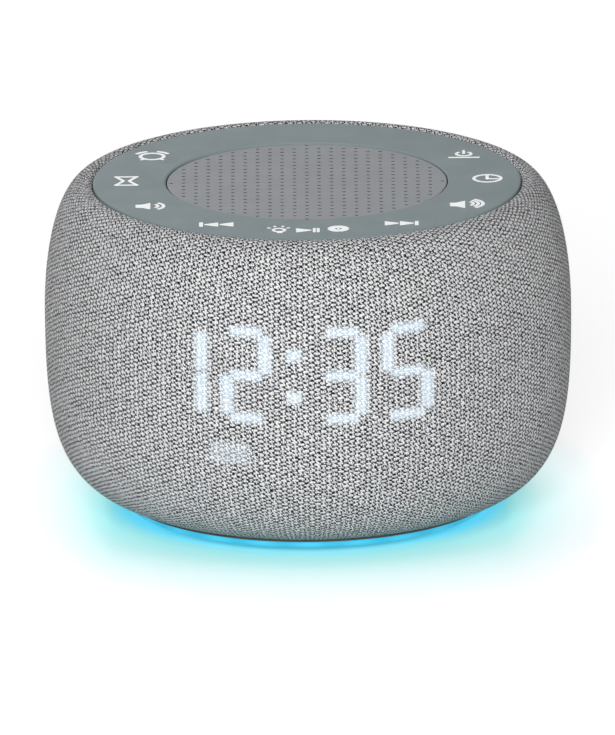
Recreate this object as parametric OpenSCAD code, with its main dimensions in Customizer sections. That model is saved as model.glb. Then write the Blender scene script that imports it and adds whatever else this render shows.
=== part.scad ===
// White noise sound machine: a fabric-covered round body with a ring of keys,
// a perforated speaker grille, a clock display that shines through the fabric
// and a light ring under the hem. The front faces -Y and z = 0 is the table.

/* [Body] */
// Largest diameter of the fabric-covered body
body_d = 156; // [150:1:190]
// Height from the table to the crest of the lip round the ring
body_h = 99; // [92:1:125]
// Height of the widest place above the table
belly_z = 60.3; // [50:0.1:70]
// Diameter at the hem of the fabric
hem_d = 112.6; // [110:0.2:136]
// Height of the hem above the table
hem_z = 4.6; // [4.2:0.1:7]
// Slope of the fabric where it leaves the hem, in degrees
hem_slope = 16.6; // [8:0.1:30]
// Thickness of the woven cover
fabric_t = 1; // [0.6:0.1:1.4]
// Wall of the body shell
wall = 2.4; // [1.8:0.1:3]

/* [Control ring] */
// Outer diameter of the control ring
ring_d = 126.8; // [125:0.2:134]
// Thickness of the control ring
ring_t = 1.8; // [1.5:0.1:2.6]
// How far the ring lies below the crest of the lip
ring_sink = 0.2; // [0.1:0.1:1]
// Pitch of the keys round the ring, in degrees
key_pitch = 30; // [28:0.5:32]
// Radius of the circle that the round keys stand on
key_circle_r = 53; // [52.5:0.1:54]
// Diameter of a round key
key_d = 15.6; // [12:0.1:16]
// Pitch of the three slim keys at the front, in degrees
slim_pitch = 9.6; // [9.5:0.1:11]
// Width of a slim key
slim_w = 7.6; // [6:0.1:7.8]
// Length of a slim key
slim_l = 14; // [11:0.1:15]
// Travel of every key
key_travel = 0.5; // [0.3:0.1:0.6]

/* [Grille] */
// Diameter of the speaker grille
grille_d = 83; // [82:0.2:84]
// Thickness of the grille
grille_t = 1.4; // [1:0.1:2]
// How far the grille lies below the control ring
grille_sink = 0.4; // [0.2:0.1:1]
// Pitch of the square grid of holes
hole_pitch = 3.65; // [3:0.05:4.5]
// Diameter of one hole
hole_d = 1.25; // [0.9:0.05:1.6]

/* [Speaker] */
// Diameter of the driver inside its flange
driver_d = 77; // [64:0.5:78]
// Depth of the driver behind its flange
driver_depth = 35.6; // [30:0.2:44]
// Diameter of the magnet
magnet_d = 55; // [45:1:66]
// Travel of the cone to each side
cone_travel = 1.2; // [0.6:0.1:1.3]

/* [Display] */
// Height of the middle of the display above the table
display_z = 56; // [52:0.5:60]
// Height of a digit
digit_h = 28.6; // [22:0.2:34]
// Width of a digit
digit_w = 14.6; // [11:0.2:16]
// Width of a lit bar
bar_w = 3.6; // [2.4:0.1:4.4]
// Distance between the middles of two digits
digit_pitch = 18.9; // [17.5:0.1:20]
// Distance between the digits left and right of the colon
colon_gap = 28.3; // [26:0.1:30]
// How far the display is turned to the left of the front, in degrees
display_turn = 3.2; // [0:0.1:6]

/* [Base] */
// Height of the rubber feet
foot_h = 1.6; // [1.4:0.1:2.4]
// Diameter of a foot
foot_d = 13; // [9:0.5:15]
// Thickness of the base plate
base_t = 2.2; // [1.8:0.1:3]
// Radial thickness of the light ring where it shows
light_ring_t = 3; // [2:0.1:3.4]
// Number of lamps in the light ring
lamp_count = 24; // [12:2:36]

/* [Rear sockets] */
// Width of the socket panel
panel_w = 44; // [38:0.5:56]
// Height of the socket panel
panel_h = 16; // [14:0.5:20]
// Height of the middle of the socket panel above the table
panel_z = 28; // [26:0.5:40]
// Bore of the power inlet
inlet_d = 5.8; // [5.4:0.1:6.6]

/* [Hidden] */
// Running gap of a key in its window, and of other close fits
fit = 0.1;
// Gap between pieces that are glued or clipped together
seat_gap = 0.15;
// Gap between the fabric and what lies beside it
soft_gap = 0.3;
// Segments of one half of the body curve
curve_steps = 14;
$fn = 96;

body_r = body_d / 2;
ring_r = ring_d / 2;
grille_r = grille_d / 2;
driver_r = driver_d / 2;

// Control ring, keys and deck
ring_top = body_h - ring_sink;
ring_bottom = ring_top - ring_t;
ring_bore_r = grille_r + soft_gap;
ring_edge_r = 0.6;
deck_t = 3.8;
deck_rim_t = 2.7;
deck_bottom = ring_bottom - deck_t;
shelf_z = ring_bottom - deck_rim_t;
shelf_t = 2.5;
tuck_r = ring_r + 0.2;
lip_roll = 1.8;
lip_r = tuck_r + lip_roll;
tuck_depth = 4.2;
deck_r = tuck_r - soft_gap;
shelf_r = deck_r - 2.8;
key_flange = 0.8;
key_flange_t = 1.2;
key_flange_top = ring_bottom - fit;
key_flange_bottom = key_flange_top - key_flange_t;
pocket_floor = key_flange_bottom - key_travel - 0.2;
key_stem_d = 3.5;
key_pip_d = 2;
switch_w = 6;
switch_h = 3;
key_board_t = 1.6;
key_board_top = deck_bottom - 4.6;
key_board_r = shelf_r - 1;
key_board_bore_r = driver_r + 5.6;
switch_top = key_board_top + switch_h;
key_stem_end = switch_top + key_travel + fit;
key_pip_end = switch_top - 0.7;
tactile_r = 0.55;
tactile_h = 0.2;
deck_post_d = 4.4;
deck_post_angles = [15, 75, 105, 165, 225, 315];

// Round keys by their place, counted round the ring in steps of the pitch
KEY_STEPS = [["power", 1], ["clock", 0], ["volume_up", -1], ["forward", -2],
    ["back", 8], ["volume_down", 7], ["timer", 6], ["alarm", 5]];
// Slim keys by their place, counted from the front
SLIM_STEPS = [["light", -1], ["play", 0], ["pair", 1]];

// Grille
grille_top = ring_top - grille_sink;
grille_bottom = grille_top - grille_t;
grille_rim = 0.6;
hole_field_r = grille_r - grille_rim - hole_d / 2 - 0.1;
hole_steps = floor(hole_field_r / hole_pitch);
recess_r = grille_r - grille_rim;
recess_depth = 1.4;
throat_r = driver_r - 2.5;
stake_d = 1.8;
stake_at = (floor(hole_steps * 0.68) + 0.5) * hole_pitch;

// Speaker driver
flange_top = deck_bottom - 0.6;
flange_t = 1.2;
flange_r = driver_r + 3.5;
flange_screw_r = driver_r + 1.2;
roll_outer_r = driver_r - 3.3;
roll_r = 2.6;
cone_r = roll_outer_r - 2 * roll_r;
magnet_r = magnet_d / 2;
yoke_bottom = flange_top - driver_depth;
yoke_t = 3;
magnet_t = 10;
top_plate_t = 3;
magnet_bottom = yoke_bottom + yoke_t;
top_plate_z = magnet_bottom + magnet_t;
basket_floor = top_plate_z + top_plate_t;
pole_r = 9.1;
former_r = 9.7;
former_t = 0.45;
winding_t = 0.4;
plate_bore_r = 11;
neck_z = basket_floor + 7;
spider_z = basket_floor + 4;
spider_r = 20;

// Display
display_w = 2 * digit_pitch + colon_gap + digit_w + 3.3;
display_h = digit_h + 17.4;
lens_gap = 0.2;
collar_wall = 2.2;
display_board_w = display_w + 2 * (lens_gap + collar_wall);
display_board_h = display_h + 2 * (lens_gap + collar_wall) + 6;
display_board_t = 1.6;
display_board_gap = 1.5;
segment_gap = 0.5;
digit_lift = 5.2;
marker_w = 11;
marker_h = 5;
marker_drop = 9.9;

// Base
base_r = hem_d / 2 - 4.5;
base_top = foot_h + base_t;
base_bevel = 0.5;
base_recess = 0.4;
base_recess_r = 24;
light_ring_r = base_r + seat_gap + light_ring_t;
light_ring_top = base_top + 5;
light_inner_t = 1.4;
boss_r = base_r - 6;
boss_d = 6.8;
boss_meet_z = base_top + 5.4;
led_board_z = base_top + 1.6;
led_board_t = 1.6;
led_board_bore_r = boss_r - 4.8;
foot_circle_r = base_r - 11;
screw_sink = 2.8;
hem_ring_t = 0.6;
hem_ring_top = hem_z - 0.1;
main_board_l = 66;
main_board_w = 50;
main_board_t = 1.6;
main_board_z = base_top + 9;
board_post_x = main_board_l / 2 - 4;
board_post_y = main_board_w / 2 - 4;

// Rear panel
panel_face_y = body_r - 6.4;
panel_wall = 2;
panel_proud = 0.3;
panel_back_y = panel_face_y - 2.4;
jack_board_t = 1.6;
jack_board_z = panel_z - 6.4;
jack_board_l = 20;
inlet_x = -11;
usb_x = 9;
usb_w = 13.2;
usb_h = 5.8;
usb_l = 15;

// Screws
screw_d = 3;
screw_head_d = 5.2;
small_screw_d = 2;
small_head_d = 3.6;

// ---- Body curve: two cubic curves that meet at the widest place ----

function cubic(p, t) = pow(1 - t, 3) * p[0] + 3 * t * pow(1 - t, 2) * p[1]
    + 3 * t * t * (1 - t) * p[2] + pow(t, 3) * p[3];

function cubic_heading(p, t) = pow(1 - t, 2) * (p[1] - p[0])
    + 2 * t * (1 - t) * (p[2] - p[1]) + t * t * (p[3] - p[2]);

// A place on the curve, moved square to it towards the inside of the body
function inset_place(p, t, d) = let(v = cubic_heading(p, t) / norm(cubic_heading(p, t)))
    cubic(p, t) + d * [-v[1], v[0]];

lower_reach = 0.374 * (belly_z - hem_z);
lower_rise = 0.569 * (belly_z - hem_z);
upper_rise = 0.528 * (body_h - belly_z);
upper_reach = 0.62 * (body_r - lip_r);

lower_curve = [
    [hem_d / 2, hem_z],
    [hem_d / 2 + lower_reach * cos(hem_slope), hem_z + lower_reach * sin(hem_slope)],
    [body_r, belly_z - lower_rise],
    [body_r, belly_z]];
upper_curve = [
    [body_r, belly_z],
    [body_r, belly_z + upper_rise],
    [lip_r + upper_reach, body_h],
    [lip_r, body_h]];

// The body's outline from hem to lip, inset by d
function outline(d) = concat(
    [for (i = [0 : curve_steps]) inset_place(lower_curve, i / curve_steps, d)],
    [for (i = [1 : curve_steps]) inset_place(upper_curve, i / curve_steps, d)]);

// Radius of the shell's inner wall at height z
function shell_bore(z) = lookup(z, [for (p = outline(fabric_t + seat_gap + wall)) [p[1], p[0]]]);

// The display board's edges stay a gap away from the wall
display_board_reach = min(
    shell_bore(display_z - display_board_h / 2),
    shell_bore(display_z + display_board_h / 2)) - display_board_gap;
display_board_y = -sqrt(pow(display_board_reach, 2) - pow(display_board_w / 2, 2));

function reversed(list) = [for (i = [len(list) - 1 : -1 : 0]) list[i]];

// Quarter of a circle from angle a to angle b
function arc(centre, r, a, b, steps = 6) = [for (i = [0 : steps])
    centre + r * [cos(a + (b - a) * i / steps), sin(a + (b - a) * i / steps)]];

// Everything inside the outline inset by d, as a solid
module body_volume(d) {
    rotate_extrude()
        polygon(concat([[0, outline(d)[0][1]]], outline(d), [[0, body_h - d]]));
}

module at_rear(w, h, z, y0, y1) {
    translate([-w / 2, y0, z - h / 2])
        cube([w, y1 - y0, h]);
}

module at_front(w, h, y0, y1) {
    rotate(-display_turn)
        translate([-w / 2, y0, display_z - h / 2])
            cube([w, y1 - y0, h]);
}

module tube(r_out, r_in, h) {
    difference() {
        cylinder(r = r_out, h = h);
        translate([0, 0, -1])
            cylinder(r = r_in, h = h + 2);
    }
}

// ---- Fabric, shell and hem ----

module fabric_sleeve() {
    roll = [lip_r, body_h - lip_roll];
    color("#8e8f90")
        difference() {
            rotate_extrude()
                polygon(concat(
                    outline(0),
                    arc(roll, lip_roll, 90, 180),
                    [[tuck_r, body_h - tuck_depth], [tuck_r + fabric_t, body_h - tuck_depth]],
                    arc(roll, lip_roll - fabric_t, 180, 90),
                    reversed(outline(fabric_t))));
            panel_cut(soft_gap);
        }
}

module panel_cut(gap) {
    at_rear(panel_w + 2 * gap, panel_h + 2 * gap, panel_z, body_r / 2, body_r + 5);
}

module body_shell() {
    skin = fabric_t + seat_gap;
    inner = outline(skin + wall);
    lip = [lip_r, body_h - lip_roll];
    lip_bore = lip_roll - skin;
    foot_z = outline(skin)[0][1];
    foot_r = light_ring_r - light_ring_t + light_inner_t + 2 * soft_gap;
    color("#3b3d40") {
        difference() {
            union() {
                rotate_extrude()
                    polygon(concat(
                        [[foot_r, foot_z]],
                        outline(skin),
                        arc(lip, lip_bore, 90, 180),
                        [[lip_r - lip_bore, shelf_z], [shelf_r, shelf_z],
                            [shelf_r, shelf_z - shelf_t]],
                        [for (p = reversed(inner)) if (p[1] < shelf_z - shelf_t) p],
                        [[foot_r, inner[0][1]]]));
                display_collar(skin);
                panel_collar(skin);
            }
            at_front(display_w + 2 * lens_gap, display_h + 2 * lens_gap, -body_r - 5, display_board_y - 1);
            panel_cut(fit);
            display_screw_holes();
        }
        for (a = [45 : 90 : 315])
            rotate(a)
                base_boss(skin);
    }
}

// Square collar behind the window, which the display is screwed to
module display_collar(skin) {
    outer_h = display_board_h - 6;
    intersection() {
        body_volume(skin + wall / 2);
        difference() {
            union() {
                at_front(display_board_w, outer_h, -body_r, display_board_y);
                display_corners()
                    translate([0, 0, -body_r])
                        cylinder(d = 5.2, h = body_r + display_board_y);
            }
            at_front(display_w + 2 * lens_gap, display_h + 2 * lens_gap, -body_r - 1, display_board_y + 1);
        }
    }
}

// Children stand on the display's four screw places, with their axis along +Y
module display_corners() {
    rotate(-display_turn)
        for (x = [-1, 1], z = [-1, 1])
            translate([x * (display_w / 2 - 4), 0, display_z + z * (display_h / 2 + 2.6)])
                rotate([-90, 0, 0])
                    children();
}

module display_screw_holes() {
    display_corners()
        translate([0, 0, display_board_y - 5])
            cylinder(d = small_screw_d + fit, h = 6, $fn = 24);
}

// Rib round the socket panel's opening
module panel_collar(skin) {
    intersection() {
        body_volume(skin + wall / 2);
        difference() {
            at_rear(panel_w + 4, panel_h + 4, panel_z, panel_back_y - 2, body_r);
            at_rear(panel_w + 2 * fit, panel_h + 2 * fit, panel_z, panel_back_y - 3, body_r + 1);
        }
    }
}

// Screw boss that stands in from the wall on a rib
module base_boss(skin) {
    top = boss_meet_z + 16;
    difference() {
        union() {
            translate([boss_r, 0, boss_meet_z])
                cylinder(d = boss_d, h = top - boss_meet_z);
            intersection() {
                body_volume(skin + wall / 2);
                translate([boss_r, -1, boss_meet_z + 1])
                    cube([body_r, 2, top - boss_meet_z - 2]);
            }
        }
        translate([boss_r, 0, boss_meet_z - 1])
            cylinder(d = screw_d + fit, h = 13, $fn = 24);
    }
}

module hem_ring() {
    r_in = light_ring_r + soft_gap;
    shell_foot_z = outline(fabric_t + seat_gap)[0][1];
    color("#4a3a33")
        translate([0, 0, hem_ring_top - hem_ring_t]) {
            tube(hem_d / 2, r_in, hem_ring_t);
            tube(r_in + 0.5, r_in, shell_foot_z - hem_ring_top + hem_ring_t);
        }
}

// ---- Control ring and keys ----

module at_round_key(step) {
    rotate(step * key_pitch)
        translate([key_circle_r, 0, 0])
            children();
}

// A slim key's own x axis points outwards along the ring's radius
module at_slim_key(step) {
    rotate(270 + step * slim_pitch)
        translate([key_circle_r - 0.7, 0, 0])
            children();
}

module slim_outline(grow = 0, longer = 0) {
    reach = (slim_l - slim_w) / 2 + longer;
    square([2 * reach, slim_w + 2 * grow], center = true);
    for (s = [-1, 1])
        translate([s * reach, 0])
            circle(r = slim_w / 2 + grow);
}

module key_windows(grow, z, h) {
    for (k = KEY_STEPS)
        at_round_key(k[1])
            translate([0, 0, z])
                cylinder(r = key_d / 2 + grow, h = h);
    for (k = SLIM_STEPS)
        at_slim_key(k[1])
            translate([0, 0, z])
                linear_extrude(h)
                    slim_outline(grow);
}

module control_ring() {
    edge = [ring_r - ring_edge_r, ring_top - ring_edge_r];
    color("#808a8a")
        difference() {
            rotate_extrude()
                polygon(concat(
                    [[ring_bore_r, ring_bottom], [ring_r, ring_bottom]],
                    arc(edge, ring_edge_r, 0, 90),
                    [[ring_bore_r + 0.25, ring_top], [ring_bore_r, ring_top - 0.25]]));
            key_windows(fit, ring_bottom - 1, ring_t + 2);
        }
}

module key_stem() {
    translate([0, 0, key_stem_end])
        cylinder(d = key_stem_d, h = key_flange_bottom - key_stem_end + 0.1, $fn = 32);
    translate([0, 0, key_pip_end])
        cylinder(d = key_pip_d, h = key_stem_end - key_pip_end + 0.1, $fn = 32);
}

module round_key(step) {
    color("#808a8a")
        at_round_key(step) {
            translate([0, 0, key_flange_bottom])
                cylinder(r = key_d / 2, h = ring_top - key_flange_bottom);
            translate([0, 0, key_flange_bottom])
                cylinder(r = key_d / 2 + key_flange, h = key_flange_t);
            key_stem();
        }
}

module slim_key(step) {
    color("#808a8a")
        at_slim_key(step) {
            translate([0, 0, key_flange_bottom])
                linear_extrude(ring_top - key_flange_bottom)
                    slim_outline();
            translate([0, 0, key_flange_bottom])
                linear_extrude(key_flange_t)
                    slim_outline(0, key_flange);
            key_stem();
            tactile_dot();
        }
}

// Low dome that a finger finds in the dark
module tactile_dot() {
    dome_r = (pow(tactile_r, 2) + pow(tactile_h, 2)) / (2 * tactile_h);
    translate([slim_l / 2 - 2.3, 0, ring_top])
        rotate_extrude($fn = 24)
            polygon(concat(
                [[0, -0.1], [tactile_r, -0.1]],
                [for (i = [0 : 5]) let(r = tactile_r * (1 - i / 5))
                    [r, sqrt(dome_r * dome_r - r * r) - dome_r + tactile_h]]));
}

module key_power() { round_key(KEY_STEPS[0][1]); }
module key_clock() { round_key(KEY_STEPS[1][1]); }
module key_volume_up() { round_key(KEY_STEPS[2][1]); }
module key_forward() { round_key(KEY_STEPS[3][1]); }
module key_back() { round_key(KEY_STEPS[4][1]); }
module key_volume_down() { round_key(KEY_STEPS[5][1]); }
module key_timer() { round_key(KEY_STEPS[6][1]); }
module key_alarm() { round_key(KEY_STEPS[7][1]); }
module key_light() { slim_key(SLIM_STEPS[0][1]); }
module key_play() { slim_key(SLIM_STEPS[1][1]); }
module key_pair() { slim_key(SLIM_STEPS[2][1]); }

// ---- Grille ----

// Square grid, trimmed to the round field
module grille_holes() {
    for (i = [-hole_steps : hole_steps], j = [-hole_steps : hole_steps])
        if (norm([i, j]) * hole_pitch <= hole_field_r)
            translate([i * hole_pitch, j * hole_pitch, grille_bottom - 1])
                cylinder(d = hole_d, h = grille_t + 2, $fn = 16);
}

module speaker_grille() {
    edge = 0.35;
    color("#8e9295")
        difference() {
            union() {
                rotate_extrude()
                    polygon(concat(
                        [[0, grille_bottom], [grille_r, grille_bottom]],
                        arc([grille_r - edge, grille_top - edge], edge, 0, 90),
                        [[0, grille_top]]));
                for (x = [-1, 1], y = [-1, 1])
                    translate([x * stake_at, y * stake_at, grille_bottom - recess_depth - 1.6])
                        cylinder(d = stake_d, h = recess_depth + 1.8, $fn = 24);
            }
            grille_holes();
        }
}

// ---- Deck that carries ring, keys, grille and driver ----

module top_deck() {
    color("#2c2e30") {
        difference() {
            union() {
                translate([0, 0, deck_bottom])
                    cylinder(r = shelf_r - soft_gap, h = deck_t);
                translate([0, 0, shelf_z])
                    cylinder(r = deck_r, h = deck_rim_t);
                translate([0, 0, grille_bottom - 0.1])
                    tube(grille_r, recess_r, 0.1);
            }
            translate([0, 0, ring_bottom - recess_depth])
                cylinder(r = recess_r, h = recess_depth + 1);
            translate([0, 0, deck_bottom - 1])
                cylinder(r = throat_r, h = deck_t + 2);
            key_windows(key_flange + 0.2, pocket_floor, ring_bottom - pocket_floor + 1);
            for (k = KEY_STEPS)
                at_round_key(k[1])
                    stem_hole();
            for (k = SLIM_STEPS)
                at_slim_key(k[1])
                    stem_hole();
            for (x = [-1, 1], y = [-1, 1])
                translate([x * stake_at, y * stake_at, deck_bottom - 1])
                    cylinder(d = stake_d + 2 * fit, h = deck_t + 2, $fn = 24);
            driver_screw_places()
                translate([0, 0, deck_bottom - 1])
                    cylinder(d = screw_d + fit, h = 3, $fn = 24);
        }
        difference() {
            deck_posts();
            translate([0, 0, -0.1])
                deck_post_holes();
        }
    }
}

module stem_hole() {
    translate([0, 0, deck_bottom - 1])
        cylinder(d = key_stem_d + 2 * fit, h = deck_t, $fn = 32);
}

module deck_posts() {
    for (a = deck_post_angles)
        rotate(a)
            translate([key_circle_r, 0, key_board_top])
                cylinder(d = deck_post_d, h = deck_bottom - key_board_top + 0.1, $fn = 32);
}

module deck_post_holes() {
    for (a = deck_post_angles)
        rotate(a)
            translate([key_circle_r, 0, key_board_top])
                cylinder(d = small_screw_d + fit, h = 4.2, $fn = 24);
}

module key_board() {
    color("#1f5a3a")
        difference() {
            translate([0, 0, key_board_top - key_board_t])
                tube(key_board_r, key_board_bore_r, key_board_t);
            for (a = deck_post_angles)
                rotate(a)
                    translate([key_circle_r, 0, key_board_top - key_board_t - 1])
                        cylinder(d = small_screw_d + 2 * fit, h = key_board_t + 2, $fn = 24);
        }
}

module tact_switch() {
    difference() {
        translate([-switch_w / 2, -switch_w / 2, key_board_top])
            cube([switch_w, switch_w, switch_h]);
        translate([0, 0, key_pip_end - key_travel - 0.3])
            cylinder(d = key_pip_d + 2 * fit, h = switch_h, $fn = 32);
    }
}

module tact_switches() {
    color("#26282a") {
        for (k = KEY_STEPS)
            at_round_key(k[1])
                tact_switch();
        for (k = SLIM_STEPS)
            at_slim_key(k[1])
                tact_switch();
    }
}

// ---- Speaker driver, facing up ----

module driver_screw_places() {
    for (a = [0 : 90 : 270])
        rotate(a)
            translate([flange_screw_r, 0, 0])
                children();
}

module speaker_gasket() {
    color("#151617")
        difference() {
            translate([0, 0, flange_top])
                tube(flange_r, driver_r - 1.2, deck_bottom - flange_top);
            driver_screw_places()
                cylinder(d = screw_d + 2 * fit, h = body_h, $fn = 24);
        }
}

module speaker_basket() {
    floor_r = magnet_r - 2.5;
    top_in = driver_r - 4;
    z0 = basket_floor;
    z1 = flange_top - flange_t;
    step_z = spider_z - 0.7;
    color("#3a3c3f")
        difference() {
            rotate_extrude()
                polygon([
                    [plate_bore_r + 1, z0], [floor_r, z0],
                    [floor_r + 1, step_z], [driver_r - 2.2, z1], [flange_r, z1],
                    [flange_r, flange_top], [top_in, flange_top], [top_in, z1 + 0.2],
                    [floor_r - 0.4, step_z + flange_t + 0.4], [floor_r - 0.4, step_z],
                    [spider_r - 1, step_z], [spider_r - 1, step_z - flange_t],
                    [floor_r - 0.6, step_z - flange_t], [floor_r - 1.2, z0 + flange_t],
                    [plate_bore_r + 1, z0 + flange_t]]);
            for (a = [45 : 90 : 315])
                rotate(a)
                    basket_window(z1);
            driver_screw_places()
                cylinder(d = screw_d + 2 * fit, h = body_h, $fn = 24);
        }
}

module basket_window(z1) {
    difference() {
        translate([magnet_r - 1, -15, spider_z + 2.2])
            cube([driver_r, 30, z1 - spider_z - 4]);
        translate([0, 0, 0])
            cylinder(r = magnet_r - 1.5, h = body_h);
    }
}

module speaker_surround() {
    roll_mid = [roll_outer_r - roll_r, flange_top + 0.4];
    sheet_t = 0.5;
    lip_out = driver_r - 1.5;
    color("#17181a")
        rotate_extrude()
            polygon(concat(
                [[lip_out, flange_top], [lip_out, flange_top + sheet_t],
                    [roll_mid[0] + roll_r, flange_top + sheet_t]],
                arc(roll_mid, roll_r, 5, 175, 10),
                [[cone_r - 0.9, flange_top + sheet_t + 0.15], [cone_r - 0.9, flange_top + 0.15],
                    [roll_mid[0] - roll_r + sheet_t, flange_top + 0.15]],
                arc(roll_mid, roll_r - sheet_t, 170, 10, 10),
                [[roll_mid[0] + roll_r - sheet_t, flange_top]]));
}

module speaker_cone() {
    paper_t = 0.6;
    neck_r = former_r + former_t + 0.05;
    rim_z = flange_top + 0.1;
    color("#232527")
        rotate_extrude()
            polygon([[neck_r, neck_z], [neck_r + 0.8, neck_z], [cone_r - 1, rim_z - paper_t],
                [cone_r - 0.1, rim_z - paper_t], [cone_r - 0.1, rim_z], [cone_r - 1.4, rim_z],
                [neck_r, neck_z + 1]]);
}

module dust_cap() {
    cap_r = former_r + 3.4;
    neck_r = former_r + former_t + 0.05;
    slope = (flange_top + 0.1 - neck_z - 1) / (cone_r - 1.4 - neck_r);
    seat_z = neck_z + 1 + (cap_r - neck_r) * slope + 0.25;
    dome_r = 22;
    drop = sqrt(dome_r * dome_r - cap_r * cap_r);
    color("#191a1c")
        rotate_extrude()
            polygon(concat(
                [for (i = [0 : 8]) let(r = cap_r * i / 8)
                    [r, seat_z + sqrt(dome_r * dome_r - r * r) - drop]],
                [for (i = [8 : -1 : 0]) let(r = cap_r * i / 8)
                    [r, seat_z + 0.5 + sqrt(dome_r * dome_r - r * r) - drop]]));
}

module voice_coil() {
    winding_h = top_plate_t + 2 * cone_travel + 1.1;
    winding_z = top_plate_z + (top_plate_t - winding_h) / 2;
    coil_z = winding_z - 0.5;
    color("#b06a3a") {
        translate([0, 0, coil_z])
            tube(former_r + former_t, former_r, neck_z + 1.2 - coil_z);
        translate([0, 0, winding_z])
            tube(former_r + former_t + winding_t, former_r + former_t - 0.05, winding_h);
    }
}

// Corrugated disc between the coil and the basket
module speaker_spider() {
    inner_r = former_r + former_t + 0.05;
    waves = 4;
    steps = 24;
    cloth_t = 0.4;
    function wave(i) = 0.7 * sin(360 * waves * i / steps);
    function reach(i) = inner_r + (spider_r + 1.5 - inner_r) * i / steps;
    color("#b98a4e")
        rotate_extrude()
            polygon(concat(
                [for (i = [0 : steps]) [reach(i), spider_z + wave(i)]],
                [for (i = [steps : -1 : 0]) [reach(i), spider_z + cloth_t + wave(i)]]));
}

module top_plate() {
    color("#8d9094")
        translate([0, 0, top_plate_z])
            tube(magnet_r - 2, plate_bore_r, top_plate_t);
}

module magnet() {
    color("#2e2c2b")
        translate([0, 0, magnet_bottom])
            tube(magnet_r, plate_bore_r + 1.5, magnet_t);
}

module pole_yoke() {
    color("#8d9094")
        difference() {
            union() {
                translate([0, 0, yoke_bottom])
                    cylinder(r = magnet_r - 2, h = yoke_t);
                translate([0, 0, yoke_bottom])
                    cylinder(r = pole_r, h = basket_floor - yoke_bottom);
            }
            translate([0, 0, yoke_bottom - 1])
                cylinder(r = 2.5, h = driver_depth);
        }
}

// Tag strip on the basket's floor edge
module speaker_terminals() {
    r = magnet_r - 2.5;
    color("#c9b36a")
        rotate(90)
            translate([r + 1.05, 0, basket_floor]) {
                translate([0, -6, 0])
                    cube([1, 12, 3]);
                for (y = [-4, 1.6])
                    translate([0.9, y, 0.8])
                        cube([5.5, 2.4, 0.6]);
            }
}

module pan_screw(shank_d, head_d, length, head_h) {
    cylinder(d = shank_d, h = length, $fn = 24);
    translate([0, 0, -head_h])
        difference() {
            cylinder(d = head_d, h = head_h, $fn = 32);
            for (a = [0, 90])
                rotate(a)
                    translate([-head_d * 0.3, -0.35, -1])
                        cube([head_d * 0.6, 0.7, 1 + head_h * 0.5]);
        }
}

module speaker_screws() {
    color("#55585b")
        driver_screw_places()
            translate([0, 0, flange_top - flange_t])
                pan_screw(screw_d, screw_head_d, 3.4, 1.4);
}

// ---- Display ----

module display_lens() {
    skin = fabric_t + seat_gap;
    color("#c9ced4")
        intersection() {
            difference() {
                body_volume(skin + 0.1);
                body_volume(skin + 1.7);
            }
            at_front(display_w, display_h, -body_r, display_board_y - 2);
        }
}

function digit_places() = [
    -colon_gap / 2 - digit_pitch,
    -colon_gap / 2,
    colon_gap / 2,
    colon_gap / 2 + digit_pitch];

// The seven bars of a digit: place of the middle, and whether the bar stands upright
function bars() = let(w = (digit_w - bar_w) / 2, h = (digit_h - bar_w) / 2) [
    [0, h, 0], [0, 0, 0], [0, -h, 0],
    [w, h / 2, 1], [w, -h / 2, 1], [-w, h / 2, 1], [-w, -h / 2, 1]];

// Bar with pointed ends
module bar_outline(length) {
    half = length / 2 - segment_gap;
    polygon([[-half, 0], [-half + bar_w / 2, bar_w / 2], [half - bar_w / 2, bar_w / 2],
        [half, 0], [half - bar_w / 2, -bar_w / 2], [-half + bar_w / 2, -bar_w / 2]]);
}

module digit_bars() {
    for (b = bars())
        translate([b[0], b[1]])
            rotate(b[2] * 90)
                bar_outline(b[2] == 1 ? (digit_h - bar_w) / 2 : digit_w - bar_w);
}

module colon_dots() {
    for (s = [-1, 1])
        translate([s * 0.5, s * digit_h * 0.2])
            circle(d = bar_w * 1.1, $fn = 32);
}

module marker_outline() {
    translate([-colon_gap / 2 - 0.8 * digit_w, -digit_h / 2 - marker_drop])
        square([marker_w, marker_h], center = true);
}

module reflector_cells() {
    translate([0, digit_lift]) {
        for (x = digit_places())
            translate([x, 0])
                digit_bars();
        colon_dots();
        marker_outline();
    }
}

module display_reflector() {
    color("#e9eaea")
        intersection() {
            body_volume(fabric_t + seat_gap + 1.9);
            difference() {
                at_front(display_w, display_h, -body_r, display_board_y);
                rotate(-display_turn)
                    translate([0, 1, display_z])
                        rotate([90, 0, 0])
                            linear_extrude(body_r)
                                reflector_cells();
            }
        }
}

module display_board() {
    color("#1f5a3a")
        difference() {
            at_front(display_board_w, display_board_h, display_board_y, display_board_y + display_board_t);
            display_corners()
                translate([0, 0, display_board_y - 1])
                    cylinder(d = small_screw_d + 2 * fit, h = display_board_t + 2, $fn = 24);
        }
}

module display_lamps() {
    color("#f4f6ff")
        rotate(-display_turn)
            translate([0, display_board_y, display_z + digit_lift])
                rotate([90, 0, 0]) {
                    for (x = digit_places(), b = bars())
                        translate([x + b[0] - 0.8, b[1] - 0.8, 0])
                            cube([1.6, 1.6, 0.8]);
                    for (s = [-1, 1])
                        translate([s * 0.5 - 0.8, s * digit_h * 0.2 - 0.8, 0])
                            cube([1.6, 1.6, 0.8]);
                }
}

module display_screws() {
    color("#55585b")
        display_corners()
            translate([0, 0, display_board_y + display_board_t])
                mirror([0, 0, 1])
                    pan_screw(small_screw_d, small_head_d, 5.6, 1.2);
}

// ---- Rear sockets ----

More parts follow.
